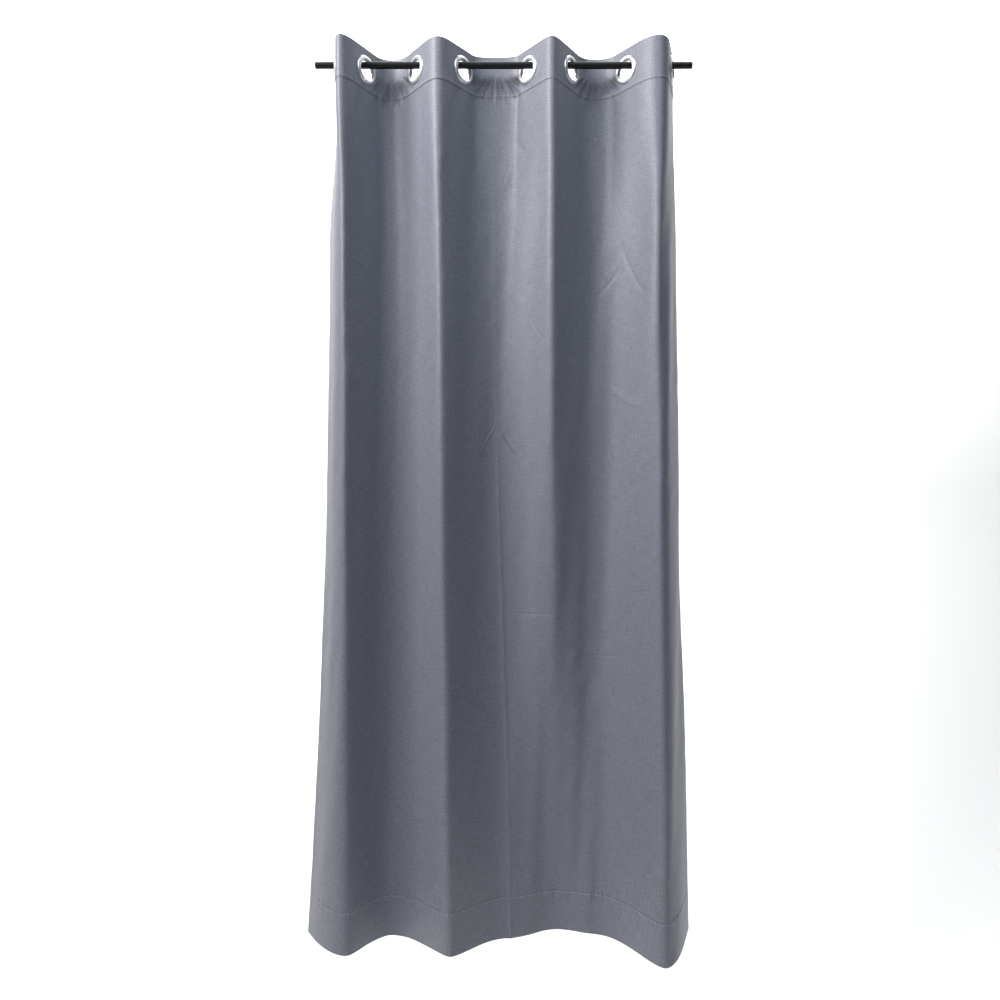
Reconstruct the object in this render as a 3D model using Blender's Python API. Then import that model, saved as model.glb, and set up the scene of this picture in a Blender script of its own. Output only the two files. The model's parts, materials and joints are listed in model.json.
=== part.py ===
"""Eyelet-heading room curtain panel hanging on its rod.

Metres, +Z up. X runs along the rod, +Y points to the wall, and the origin is the middle of the rod's axis.
The cloth of the real panel is one sheet. Here it is cut at every fold, so that each flank, the stretch between two
folds with one eyelet in its middle, is a link of a concertina that closes along the rod.
"""

import math

import bmesh
import bpy
from mathutils import Matrix, Vector

# Rod
ROD_LENGTH = 0.900
ROD_RADIUS = 0.008
ROD_WALL = 0.0012
ROD_SIDES = 24
PLUG_HEAD = 0.003
PLUG_SPIGOT = 0.018

# Clearance that touching pieces keep
CLEARANCE = 0.0003

# Panel
PANEL_HEIGHT = 2.134
TOP_ABOVE_EYELET = 0.0515
HEADING_DEPTH = 0.100
TAPE_DEPTH = 0.090
HEM_DEPTH = 0.097
CLOTH = 0.0005
TAPE = 0.0004

# Eyelet: a front half with a barrel, pushed into a back half
EYELET_BORE = 0.021
EYELET_OUTER = 0.033
BARREL_WALL = 0.0015
FRONT_DOME = 0.0040
BACK_DOME = 0.0022
HOLE_CLEARANCE = 0.0009
EYELET_SIDES = 20
DOME_STEPS = 4

# Each eyelet's place along the rod, and the angle of its flank to the rod in degrees
EYELET_X = (-0.3980, -0.3288, -0.2095, -0.0973, 0.0578, 0.1605, 0.2917, 0.3991)
FLANK_ANGLE = (84, 60, 53, 52, 52, 55, 53, 72)
# The panel can be drawn out until each flank has turned this much further along the rod, in degrees
DRAW_OUT = 3
# Distance of each fold's crest from the rod's axis; the first is on the room side and they alternate
FOLD_DEPTH = (0.066, 0.052, 0.056, 0.040, 0.058, 0.049, 0.062)
FOLD_GAP = 0.00096
CURVE_STEPS = 6
# Bands of faces down the cloth between its heading and its hem
DROP_BANDS = 8
# Vertices of one mesh closer than this are one
WELD = 1e-6
# The flank is flat for this much beyond the eyelet's rim
RIM_MARGIN = 0.002

# Plan of the panel's two side edges, at the heading and at the hem
LEFT_EDGE = ((-0.409, 0.068), (-0.462, 0.058))
RIGHT_EDGE = ((0.412, 0.066), (0.452, 0.060))

SLATE = (0.135, 0.145, 0.175, 1.0)
BLACK = (0.010, 0.010, 0.011, 1.0)
PLUG_BLACK = (0.014, 0.014, 0.015, 1.0)
SILVER = (0.720, 0.720, 0.730, 1.0)
BUCKRAM = (0.640, 0.640, 0.620, 1.0)

EYELETS = len(EYELET_X)
STACK_HALF = CLOTH + CLEARANCE + TAPE / 2
FLANGE_AT = STACK_HALF + CLEARANCE
BARREL_OUTER = EYELET_BORE + BARREL_WALL
CLOTH_HOLE = BARREL_OUTER + HOLE_CLEARANCE
FLAT_HALF = EYELET_OUTER + RIM_MARGIN

BARREL_REACH = FLANGE_AT + BACK_DOME


def eyelet_height():
    """Height of the eyelets' centres where the rim of the flattest one's barrel hangs just clear of the rod."""
    angle = math.radians(min(FLANK_ANGLE) - DRAW_OUT)
    bore = EYELET_BORE * math.cos(math.pi / EYELET_SIDES)
    lowest = -EYELET_BORE
    for degree in range(180):
        around = math.radians(degree)
        across = bore * math.cos(around) * math.sin(angle) - BARREL_REACH * math.cos(angle)
        if abs(across) < ROD_RADIUS:
            lowest = max(lowest, math.sqrt(ROD_RADIUS**2 - across**2) - bore * math.sin(around))
    return lowest + CLEARANCE


EYELET_Z = eyelet_height()
TOP_Z = EYELET_Z + TOP_ABOVE_EYELET
BOTTOM_Z = TOP_Z - PANEL_HEIGHT
HEADING_Z = TOP_Z - HEADING_DEPTH
HEM_Z = BOTTOM_Z + HEM_DEPTH


def clear_scene():
    """Remove the objects that a new file starts with."""
    for obj in list(bpy.data.objects):
        bpy.data.objects.remove(obj)


def material(name, colour, roughness, metallic=0.0):
    """A Principled material, made once for each name."""
    made = bpy.data.materials.get(name)
    if made is None:
        made = bpy.data.materials.new(name)
        made.use_nodes = True
        shader = made.node_tree.nodes["Principled BSDF"]
        shader.inputs["Base Color"].default_value = colour
        shader.inputs["Roughness"].default_value = roughness
        shader.inputs["Metallic"].default_value = metallic
    return made


def add_object(name, bm, finish, place=None):
    """Turn a bmesh into a node's object, with its faces pointing out."""
    bmesh.ops.recalc_face_normals(bm, faces=bm.faces)
    mesh = bpy.data.meshes.new(name)
    bm.to_mesh(mesh)
    bm.free()
    mesh.materials.append(finish)
    obj = bpy.data.objects.new(name, mesh)
    bpy.context.scene.collection.objects.link(obj)
    if place is not None:
        obj.matrix_world = place
    return obj


def side(fold):
    """-1 for a fold on the room side of the rod, +1 for one on the wall side."""
    return -1 if fold % 2 == 0 else 1


def eyelet_centre(flank):
    """Plan place of an eyelet."""
    return Vector((EYELET_X[flank], 0.0))


def flank_direction(flank):
    """Unit vector in plan along a flank at its eyelet, towards +X."""
    angle = math.radians(FLANK_ANGLE[flank]) * side(flank)
    return Vector((math.cos(angle), math.sin(angle)))


def fold_curve(fold):
    """Control points in plan of the cubic that joins one flank's flat to the next one's, as deep as the fold."""
    leaving = flank_direction(fold)
    arriving = flank_direction(fold + 1)
    start = eyelet_centre(fold) + leaving * FLAT_HALF
    end = eyelet_centre(fold + 1) - arriving * FLAT_HALF
    slopes = abs(leaving.y) + abs(arriving.y)
    handle = (8 * FOLD_DEPTH[fold] - 4 * (abs(start.y) + abs(end.y))) / (3 * slopes)
    return [start, start + leaving * handle, end - arriving * handle, end]


def split_curve(points, t):
    """De Casteljau's split of a cubic into the part before t and the part after it."""
    before = [points[0]]
    after = [points[-1]]
    while len(points) > 1:
        points = [a.lerp(b, t) for a, b in zip(points, points[1:])]
        before.append(points[0])
        after.append(points[-1])
    return before, after[::-1]


def curve_at(points, t):
    """The point of a cubic at t."""
    return split_curve(points, t)[0][-1]


def split_fold(fold):
    """Both halves of a fold's curve, cut where it is midway between its two eyelets, which is its hinge."""
    points = fold_curve(fold)
    middle = (EYELET_X[fold] + EYELET_X[fold + 1]) / 2
    low, high = 0.0, 1.0
    for _ in range(50):
        t = (low + high) / 2
        if curve_at(points, t).x < middle:
            low = t
        else:
            high = t
    return split_curve(points, (low + high) / 2)


def sampled(points):
    """Points along a cubic, its two ends included."""
    return [curve_at(points, i / CURVE_STEPS) for i in range(CURVE_STEPS + 1)]


def edge_curve(flank, outward, edge):
    """Points from an end flank's flat to the panel's side edge."""
    start = eyelet_centre(flank) + flank_direction(flank) * outward * FLAT_HALF
    end = Vector(edge)
    handle = flank_direction(flank) * outward * (end - start).length / 3
    return sampled([start, start + handle, end.lerp(start, 1 / 3), end])


def flank_plan(flank, level):
    """Plan points of a flank from its -X end to its +X end; level is 0 at the heading and 1 at the hem."""
    if flank == 0:
        left = edge_curve(flank, -1, LEFT_EDGE[level])[::-1]
    else:
        left = sampled(split_fold(flank - 1)[1])
        left[0] = left[0] + (left[1] - left[0]).normalized() * FOLD_GAP / 2
    if flank == EYELETS - 1:
        right = edge_curve(flank, 1, RIGHT_EDGE[level])
    else:
        right = sampled(split_fold(flank)[0])
        right[-1] = right[-1] - (right[-1] - right[-2]).normalized() * FOLD_GAP / 2
    return left + right


def plan_offsets(flank, level):
    """For each plan point, the vector that moves it by one unit square to the cloth, towards the wall."""
    points = flank_plan(flank, level)
    ways = [(b - a).normalized() for a, b in zip(points, points[1:])]
    offsets = []
    for before, after in zip(ways[:1] + ways, ways + ways[-1:]):
        mitre = (before + after).normalized()
        offsets.append(Vector((-mitre.y, mitre.x)) / mitre.dot(after))
    return offsets


def sweep(name, flank, section, caps, finish):
    """A closed section of (distance towards the wall, height, level) corners, swept along a flank's plan.

    Each of caps lists the corners of one face of the section's two ends.
    """
    heading, hem = flank_plan(flank, 0), flank_plan(flank, 1)
    heading_offsets, hem_offsets = plan_offsets(flank, 0), plan_offsets(flank, 1)
    bm = bmesh.new()
    rings = []
    for i in range(len(heading)):
        ring = []
        for distance, height, level in section:
            spot = heading[i].lerp(hem[i], level) + heading_offsets[i].lerp(hem_offsets[i], level) * distance
            ring.append(bm.verts.new((spot.x, spot.y, height)))
        rings.append(ring)
    for ring, following in zip(rings, rings[1:]):
        for a, b, c, d in zip(ring, ring[1:] + ring[:1], following[1:] + following[:1], following):
            bm.faces.new((a, b, c, d))
    for ring in (rings[0], rings[-1]):
        for cap in caps:
            bm.faces.new([ring[corner] for corner in cap])
    return add_object(name, bm, finish)


def cloth_section():
    """Corners and end caps of the cloth, from its turned-down heading to its turned-up hem."""
    front = -STACK_HALF
    back = STACK_HALF
    hem_back = front + 2 * CLOTH + CLEARANCE
    inner = front + CLOTH
    drop = [(HEADING_Z + (HEM_Z - HEADING_Z) * i / DROP_BANDS, i / DROP_BANDS) for i in range(DROP_BANDS + 1)]
    heading = [(front, TOP_Z, 0), (back, TOP_Z, 0), (back, HEADING_Z, 0), (back - CLOTH, HEADING_Z, 0)]
    heading += [(back - CLOTH, TOP_Z - CLOTH, 0), (inner, TOP_Z - CLOTH, 0)]
    hem = [(inner, BOTTOM_Z + CLOTH, 1), (hem_back - CLOTH, BOTTOM_Z + CLOTH, 1), (hem_back - CLOTH, HEM_Z, 1)]
    hem += [(hem_back, HEM_Z, 1), (hem_back, BOTTOM_Z, 1), (front, BOTTOM_Z, 1)]
    down = [(inner, height, level) for height, level in drop]
    up = [(front, height, level) for height, level in reversed(drop)]
    first_down = len(heading)
    first_up = first_down + len(down) + len(hem)
    last = first_up + len(up) - 1
    caps = [[*range(first_down + 1), last], range(first_down + DROP_BANDS, first_up + 1)]
    caps += [(first_down + i, first_down + i + 1, last - i - 1, last - i) for i in range(DROP_BANDS)]
    return heading + down + hem + up, caps


def tape_section():
    """Corners and end cap of the stiffening tape that lies in the turned-down heading."""
    top = TOP_Z - CLOTH - CLEARANCE
    foot = top - TAPE_DEPTH
    corners = [(-TAPE / 2, top, 0), (TAPE / 2, top, 0), (TAPE / 2, foot, 0), (-TAPE / 2, foot, 0)]
    return corners, [range(len(corners))]


def eyelet_place(flank):
    """World matrix of an eyelet: Z towards the room and square to the flank, X along the flank."""
    along = flank_direction(flank)
    x_axis = Vector((along.x, along.y, 0.0))
    z_axis = Vector((along.y, -along.x, 0.0))
    y_axis = z_axis.cross(x_axis)
    turn = Matrix((x_axis, y_axis, z_axis)).transposed()
    return Matrix.Translation((EYELET_X[flank], 0.0, EYELET_Z)) @ turn.to_4x4()


def turned(name, profile, finish, place, sides):
    """A profile of (radius, height) corners turned about Z; it is closed, or starts and ends on the axis."""
    bm = bmesh.new()
    verts = [bm.verts.new((radius, 0.0, height)) for radius, height in profile]
    closed = profile[0][0] > 0
    ends = verts[1:] + verts[:1] if closed else verts[1:]
    edges = [bm.edges.new(pair) for pair in zip(verts, ends)]
    bmesh.ops.spin(bm, geom=verts + edges, cent=(0, 0, 0), axis=(0, 0, 1), angle=math.tau, steps=sides, use_merge=True)
    bmesh.ops.remove_doubles(bm, verts=bm.verts, dist=WELD)
    return add_object(name, bm, finish, place)


def dome(inner, outer, base, rise):
    """Profile points over a rounded flange, from its inner foot to its outer foot."""
    middle = (inner + outer) / 2
    half = (outer - inner) / 2
    steps = [math.pi * i / DOME_STEPS for i in range(DOME_STEPS + 1)]
    return [(middle - half * math.cos(angle), base + rise * math.sin(angle)) for angle in steps]


def cut_hole(obj, flank):
    """Punch an eyelet's hole through a piece of the heading."""
    bm = bmesh.new()
    bmesh.ops.create_cone(bm, cap_ends=True, segments=EYELET_SIDES, radius1=CLOTH_HOLE, radius2=CLOTH_HOLE,
                          depth=STACK_HALF * 8)
    cutter = add_object(f"punch_{obj.name}", bm, obj.data.materials[0], eyelet_place(flank))
    cutter.hide_render = True
    cutter.display_type = "WIRE"
    cut = obj.modifiers.new("eyelet_hole", "BOOLEAN")
    cut.operation = "DIFFERENCE"
    cut.solver = "EXACT"
    cut.object = cutter


def make_flank(flank):
    """One flank's cloth, its piece of heading tape and its two-part eyelet."""
    number = flank + 1
    fabric = material("blackout_cloth", SLATE, 0.75)
    buckram = material("heading_buckram", BUCKRAM, 0.9)
    metal = material("eyelet_metal", SILVER, 0.25, 1.0)
    cut_hole(sweep(f"cloth_{number}", flank, *cloth_section(), fabric), flank)
    cut_hole(sweep(f"heading_tape_{number}", flank, *tape_section(), buckram), flank)

    place = eyelet_place(flank)
    front = dome(EYELET_BORE, EYELET_OUTER, FLANGE_AT, FRONT_DOME)
    front += [(BARREL_OUTER, FLANGE_AT), (BARREL_OUTER, -BARREL_REACH), (EYELET_BORE, -BARREL_REACH)]
    turned(f"eyelet_front_{number}", front, metal, place, EYELET_SIDES)
    back = dome(BARREL_OUTER + CLEARANCE, EYELET_OUTER, -FLANGE_AT, -BACK_DOME)
    turned(f"eyelet_back_{number}", back, metal, place, EYELET_SIDES)


def make_rod():
    """The tube that the panel hangs on, and the plug in each of its ends."""
    lacquer = material("rod_lacquer", BLACK, 0.35, 0.6)
    plastic = material("plug_plastic", PLUG_BLACK, 0.5)
    bore = ROD_RADIUS - ROD_WALL
    tube_half = ROD_LENGTH / 2 - PLUG_HEAD - CLEARANCE
    along_rod = Matrix.Rotation(math.pi / 2, 4, "Y")
    tube = [(bore, -tube_half), (ROD_RADIUS, -tube_half), (ROD_RADIUS, tube_half), (bore, tube_half)]
    turned("curtain_rod", tube, lacquer, along_rod, ROD_SIDES)
    spigot = bore * math.cos(math.pi / ROD_SIDES) - CLEARANCE
    end = ROD_LENGTH / 2
    foot = end - PLUG_HEAD
    plug = [(0.0, end), (ROD_RADIUS, end), (ROD_RADIUS, foot), (spigot, foot), (spigot, foot - PLUG_SPIGOT)]
    plug.append((0.0, foot - PLUG_SPIGOT))
    turned("rod_plug_right", plug, plastic, along_rod, ROD_SIDES)
    turned("rod_plug_left", plug, plastic, Matrix.Rotation(-math.pi / 2, 4, "Y"), ROD_SIDES)


def main():
    """Build every piece of the panel and its rod."""
    clear_scene()
    make_rod()
    for flank in range(EYELETS):
        make_flank(flank)


main()
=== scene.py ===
"""Looks of an eyelet-heading curtain panel that hangs on its rod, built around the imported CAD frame."""

import json
import logging
import math
from dataclasses import dataclass, field
from enum import Enum

import bmesh
import bpy
import numpy as np
from mathutils import Matrix, Vector


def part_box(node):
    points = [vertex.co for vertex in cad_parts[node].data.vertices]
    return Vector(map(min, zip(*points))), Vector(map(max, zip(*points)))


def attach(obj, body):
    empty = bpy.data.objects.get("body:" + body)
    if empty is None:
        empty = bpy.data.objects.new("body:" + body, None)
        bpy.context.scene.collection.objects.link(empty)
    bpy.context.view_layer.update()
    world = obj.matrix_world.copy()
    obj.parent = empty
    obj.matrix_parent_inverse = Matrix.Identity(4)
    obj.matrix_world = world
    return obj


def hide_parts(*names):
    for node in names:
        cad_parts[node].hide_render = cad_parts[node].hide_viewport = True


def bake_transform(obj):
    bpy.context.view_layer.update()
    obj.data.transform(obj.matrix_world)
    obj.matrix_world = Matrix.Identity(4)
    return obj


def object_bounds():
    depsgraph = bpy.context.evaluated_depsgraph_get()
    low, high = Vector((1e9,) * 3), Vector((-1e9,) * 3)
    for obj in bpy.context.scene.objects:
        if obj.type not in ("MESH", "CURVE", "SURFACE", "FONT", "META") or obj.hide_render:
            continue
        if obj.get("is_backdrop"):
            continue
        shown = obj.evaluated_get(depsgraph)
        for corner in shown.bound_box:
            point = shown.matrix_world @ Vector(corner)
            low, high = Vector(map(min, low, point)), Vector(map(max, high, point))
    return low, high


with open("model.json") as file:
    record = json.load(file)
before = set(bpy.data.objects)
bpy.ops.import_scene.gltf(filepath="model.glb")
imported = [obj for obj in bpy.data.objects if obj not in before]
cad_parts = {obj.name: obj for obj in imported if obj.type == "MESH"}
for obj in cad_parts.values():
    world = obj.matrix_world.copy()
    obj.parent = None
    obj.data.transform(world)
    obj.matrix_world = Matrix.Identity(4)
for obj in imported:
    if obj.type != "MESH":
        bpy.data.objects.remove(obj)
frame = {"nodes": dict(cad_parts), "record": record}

log = logging.getLogger("curtain")

MM = 0.001
UP = np.array([0.0, 0.0, 1.0])


class Slot(Enum):
    """Material slots of the record."""

    CLOTH = "curtain_cloth"
    EYELET = "eyelet_metal"
    ROD = "rod_lacquer"
    PLUG = "plug_plastic"
    THREAD = "sewing_thread"


class Face(Enum):
    """The two faces of the cloth."""

    RIGHT = 1
    WRONG = -1


def smoothstep(low: float, high: float, value: np.ndarray) -> np.ndarray:
    """Ease from 0 at low to 1 at high.

    Args:
        low: Where the ramp starts.
        high: Where the ramp ends.
        value: Points to evaluate.

    Returns:
        The eased share at each point.
    """
    t = np.clip((value - low) / (high - low), 0.0, 1.0)
    return t * t * (3.0 - 2.0 * t)


def bump(centre: float, width: float, value: np.ndarray) -> np.ndarray:
    """A Gaussian hump of height 1.

    Args:
        centre: Where the hump stands.
        width: Its standard deviation.
        value: Points to evaluate.

    Returns:
        The hump's height at each point.
    """
    return np.exp(-(((value - centre) / width) ** 2) / 2.0)


def smooth_along(values: np.ndarray, axis: int, spread: float) -> np.ndarray:
    """Smooth an array along one axis with a Gaussian, keeping its ends in place.

    Args:
        values: The array.
        axis: The axis to smooth along.
        spread: Standard deviation in samples.

    Returns:
        The smoothed array.
    """
    reach = int(spread * 3) + 1
    kernel = np.exp(-0.5 * (np.arange(-reach, reach + 1) / spread) ** 2)
    kernel /= kernel.sum()
    moved = np.moveaxis(values, axis, 0)
    first = 2 * moved[:1] - moved[1 : reach + 1][::-1]
    last = 2 * moved[-1:] - moved[-reach - 1 : -1][::-1]
    padded = np.concatenate([first, moved, last])
    out = sum(weight * padded[i : i + len(moved)] for i, weight in enumerate(kernel))
    return np.moveaxis(out, 0, axis)


# ---------------------------------------------------------------- finishes


class NodeTree:
    """A short way to write a material's nodes."""

    def __init__(self, name: str) -> None:
        """Start a material whose only node is a Principled shader.

        Args:
            name: The material's name.
        """
        self.material = bpy.data.materials.new(name)
        self.material.use_nodes = True
        self.nodes = self.material.node_tree.nodes
        self.links = self.material.node_tree.links
        self.shader = self.nodes["Principled BSDF"]

    def add(self, kind: str, **settings: object) -> bpy.types.Node:
        """Add a node.

        Args:
            kind: The node's type without its prefix, such as TexNoise.
            **settings: Properties, and input values for keys that name an input with spaces as underscores.

        Returns:
            The new node.
        """
        node = self.nodes.new(f"ShaderNode{kind}")
        for key, value in settings.items():
            if hasattr(node, key):
                setattr(node, key, value)
            else:
                node.inputs[key.replace("_", " ")].default_value = value
        return node

    def link(self, source: bpy.types.NodeSocket, target: bpy.types.NodeSocket) -> None:
        """Join two sockets.

        Args:
            source: The output socket.
            target: The input socket.
        """
        self.links.new(source, target)

    def noise(self, at: bpy.types.NodeSocket, scale: float, detail: float, roughness: float = 0.5,
              stretch: tuple[float, float, float] | None = None) -> bpy.types.NodeSocket:
        """Noise over a place.

        Args:
            at: The place.
            scale: Scale of the noise.
            detail: Its detail.
            roughness: Its roughness.
            stretch: Scale of the place along each axis, where it isn't even.

        Returns:
            The noise's value socket.
        """
        if stretch is not None:
            mapped = self.add("Mapping", Scale=stretch)
            self.link(at, mapped.inputs["Vector"])
            at = mapped.outputs["Vector"]
        node = self.add("TexNoise", Scale=scale, Detail=detail, Roughness=roughness)
        self.link(at, node.inputs["Vector"])
        return node.outputs["Fac"]

    def arithmetic(self, operation: str, *terms: bpy.types.NodeSocket | float) -> bpy.types.NodeSocket:
        """Work out a value with a Math node.

        Args:
            operation: The node's operation.
            *terms: Sockets or numbers, in the order of the node's inputs.

        Returns:
            The result's socket.
        """
        node = self.add("Math", operation=operation)
        for socket, term in zip(node.inputs, terms):
            if isinstance(term, bpy.types.NodeSocket):
                self.link(term, socket)
            else:
                socket.default_value = term
        return node.outputs["Value"]

    def map_range(self, source: bpy.types.NodeSocket, given: tuple[float, float],
                  wanted: tuple[float, float] = (0.0, 1.0), smooth: bool = True) -> bpy.types.NodeSocket:
        """Carry a value from one range to another.

        Args:
            source: The value.
            given: Its range.
            wanted: The range to carry it to.
            smooth: Whether the change eases in and out.

        Returns:
            The new value's socket.
        """
        node = self.add("MapRange", interpolation_type="SMOOTHSTEP" if smooth else "LINEAR",
                        From_Min=given[0], From_Max=given[1], To_Min=wanted[0], To_Max=wanted[1])
        self.link(source, node.inputs["Value"])
        return node.outputs["Result"]

    def ramp(self, source: bpy.types.NodeSocket, stops: list[tuple[float, tuple]]) -> bpy.types.NodeSocket:
        """Colour ramp of a value.

        Args:
            source: The value.
            stops: Position and RGB of each stop.

        Returns:
            The ramp's colour socket.
        """
        node = self.add("ValToRGB")
        elements = node.color_ramp.elements
        while len(elements) < len(stops):
            elements.new(0.5)
        for element, (position, colour) in zip(elements, stops):
            element.position = position
            element.color = (*colour, 1.0)
        self.link(source, node.inputs["Fac"])
        return node.outputs["Color"]

    def bump_from(self, height: bpy.types.NodeSocket, strength: float, distance: float,
                  under: bpy.types.NodeSocket | None = None) -> bpy.types.NodeSocket:
        """Bump a surface.

        Args:
            height: Height socket.
            strength: Strength of the bump.
            distance: Its depth in metres.
            under: The normal of a coarser bump to build on.

        Returns:
            The normal socket.
        """
        node = self.add("Bump", Strength=strength, Distance=distance)
        self.link(height, node.inputs["Height"])
        if under is not None:
            self.link(under, node.inputs["Normal"])
        return node.outputs["Normal"]


@dataclass(frozen=True)
class WovenFinish:
    """Fine twill-like cloth, its threads counted along the flat sheet's own UV map."""

    name: str = "blackout_weave"
    light: tuple[float, float, float] = (0.200, 0.209, 0.252)
    dark: tuple[float, float, float] = (0.096, 0.103, 0.130)
    roughness: float = 0.50
    sheen: float = 0.15
    yarn_share: float = 0.36
    crease_width: float = 2.2 * MM
    crease_depth: float = 0.35 * MM
    crease_cells: float = 5.5
    thread_pitch: float = 0.55 * MM
    depth: float = 0.05 * MM
    pressed_width: float = 3.5 * MM
    # Straight creases: start and end across from the cloth's middle and down from its raw edge, then how high
    pressed: tuple[tuple[float, float, float, float, float], ...] = (
        (-0.015, 0.990, -0.080, 1.080, -4.0),
        (0.000, 1.015, 0.056, 1.080, 5.5),
        (0.010, 1.452, 0.200, 1.449, 2.0),
        (0.240, 1.556, 0.420, 1.551, 2.0),
    )

    def build(self, width: float, length: float) -> bpy.types.Material:
        """Make the material.

        Args:
            width: Metres of cloth that the UV map's U covers.
            length: Metres of cloth that V covers.

        Returns:
            The material.
        """
        tree = NodeTree(self.name)
        flat = tree.add("UVMap", uv_map="Flat")
        metres = tree.add("Mapping", Scale=(width, length, 1.0))
        tree.link(flat.outputs["UV"], metres.inputs["Vector"])
        at = metres.outputs["Vector"]
        weave = tree.add("TexWave", wave_type="BANDS", bands_direction="DIAGONAL", wave_profile="SIN")
        weave.inputs["Scale"].default_value = math.tau / (10 * math.sqrt(2) * self.thread_pitch)
        weave.inputs["Distortion"].default_value = 0.6
        weave.inputs["Detail"].default_value = 1.0
        tree.link(at, weave.inputs["Vector"])
        yarn = tree.noise(at, 900.0, 2.0, 0.6, (1.0, 0.035, 1.0))
        slub = tree.noise(at, 700.0, 2.0, 0.6, (0.05, 1.0, 1.0))
        cloud = tree.noise(at, 420.0, 3.0, 0.7)
        yarns = tree.arithmetic("ADD", yarn, slub)
        tone = tree.arithmetic("MULTIPLY_ADD", yarns, self.yarn_share, cloud)
        colour = tree.ramp(tone, [(0.72, self.dark), (0.98, self.light)])
        tree.link(colour, tree.shader.inputs["Base Color"])
        height = self.creases(tree, at)
        for crease in self.pressed:
            height = self.pressed_line(tree, at, width / 2, crease, height)
        creased = tree.bump_from(height, 1.0, self.crease_depth)
        mottled = tree.bump_from(cloud, 0.5, self.depth * 4, creased)
        coarse = tree.bump_from(yarns, 0.35, self.depth * 2, mottled)
        tree.link(tree.bump_from(weave.outputs["Fac"], 0.35, self.depth, coarse), tree.shader.inputs["Normal"])
        tree.shader.inputs["Roughness"].default_value = self.roughness
        tree.shader.inputs["Sheen Weight"].default_value = self.sheen
        tree.shader.inputs["Sheen Roughness"].default_value = 0.45
        tree.shader.inputs["Specular IOR Level"].default_value = 0.45
        return tree.material

    def pressed_line(self, tree: NodeTree, at: bpy.types.NodeSocket, middle: float,
                     crease: tuple[float, float, float, float, float],
                     under: bpy.types.NodeSocket) -> bpy.types.NodeSocket:
        """Add one straight pressed crease to a height.

        Args:
            tree: The material's nodes.
            at: Place on the flat cloth in metres.
            middle: Place across of the cloth's middle.
            crease: One row of pressed.
            under: The height to add it to.

        Returns:
            The new height socket.
        """
        s0, t0, s1, t1, rise = crease
        size = math.hypot(s1 - s0, t1 - t0)
        local = tree.add("Mapping", vector_type="TEXTURE", Location=(middle + s0, t0, 0.0),
                         Rotation=(0.0, 0.0, math.atan2(t1 - t0, s1 - s0)))
        tree.link(at, local.inputs["Vector"])
        place = tree.add("SeparateXYZ")
        tree.link(local.outputs["Vector"], place.inputs["Vector"])
        aside = tree.arithmetic("ABSOLUTE", place.outputs["Y"])
        ridge = tree.map_range(aside, (0.0, self.pressed_width), (rise, 0.0))
        start = tree.map_range(place.outputs["X"], (0.0, 0.2 * size))
        end = tree.map_range(place.outputs["X"], (0.6 * size, size), (1.0, 0.0))
        faded = tree.arithmetic("MULTIPLY", tree.arithmetic("MULTIPLY", ridge, start), end)
        return tree.arithmetic("ADD", faded, under)

    def creases(self, tree: NodeTree, at: bpy.types.NodeSocket) -> bpy.types.NodeSocket:
        """Height of a few thin, straight creases.

        Args:
            tree: The material's nodes.
            at: Place on the flat cloth in metres.

        Returns:
            The height socket.
        """
        cells = tree.add("TexVoronoi", feature="DISTANCE_TO_EDGE", Scale=self.crease_cells, Randomness=1.0)
        tree.link(at, cells.inputs["Vector"])
        line = tree.map_range(cells.outputs["Distance"], (0.0, self.crease_width * self.crease_cells), (1.0, 0.0))
        few = tree.map_range(tree.noise(at, 7.0, 1.0), (0.52, 0.68))
        return tree.arithmetic("MULTIPLY", line, few)


@dataclass(frozen=True)
class NoisyFinish:
    """A plain material with fine grain in its colour, gloss and relief."""

    name: str
    light: tuple[float, float, float]
    dark: tuple[float, float, float]
    roughness: tuple[float, float]
    metallic: float = 0.0
    scale: float = 300.0
    stretch: tuple[float, float, float] = (1.0, 1.0, 1.0)
    relief: float = 0.02 * MM
    specular: float = 0.5

    def build(self) -> bpy.types.Material:
        """Make the material.

        Returns:
            The material.
        """
        tree = NodeTree(self.name)
        place = tree.add("TexCoord")
        grain = tree.noise(place.outputs["Object"], self.scale, 4.0, 0.6, self.stretch)
        tree.link(tree.ramp(grain, [(0.3, self.dark), (0.7, self.light)]), tree.shader.inputs["Base Color"])
        gloss = tree.map_range(grain, (0.0, 1.0), self.roughness, smooth=False)
        tree.link(gloss, tree.shader.inputs["Roughness"])
        tree.link(tree.bump_from(grain, 0.4, self.relief), tree.shader.inputs["Normal"])
        tree.shader.inputs["Metallic"].default_value = self.metallic
        tree.shader.inputs["Specular IOR Level"].default_value = self.specular
        return tree.material


SILVER_PLATE = NoisyFinish("silver_plate", (0.80, 0.80, 0.81), (0.74, 0.74, 0.76), (0.30, 0.38),
                           metallic=0.9, scale=500.0, relief=0.004 * MM)
ROD_LACQUER = NoisyFinish("rod_lacquer", (0.006, 0.006, 0.0065), (0.003, 0.003, 0.0035), (0.38, 0.50),
                          scale=900.0, stretch=(0.05, 1.0, 1.0), specular=0.25)
PLUG_PLASTIC = NoisyFinish("plug_plastic", (0.020, 0.020, 0.021), (0.013, 0.013, 0.014), (0.45, 0.60), scale=1500.0)
SEWING_THREAD = NoisyFinish("sewing_thread", (0.60, 0.62, 0.66), (0.46, 0.48, 0.52), (0.5, 0.7),
                            scale=4000.0, relief=0.05 * MM)


# ---------------------------------------------------------------- where the frame holds the panel


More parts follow.
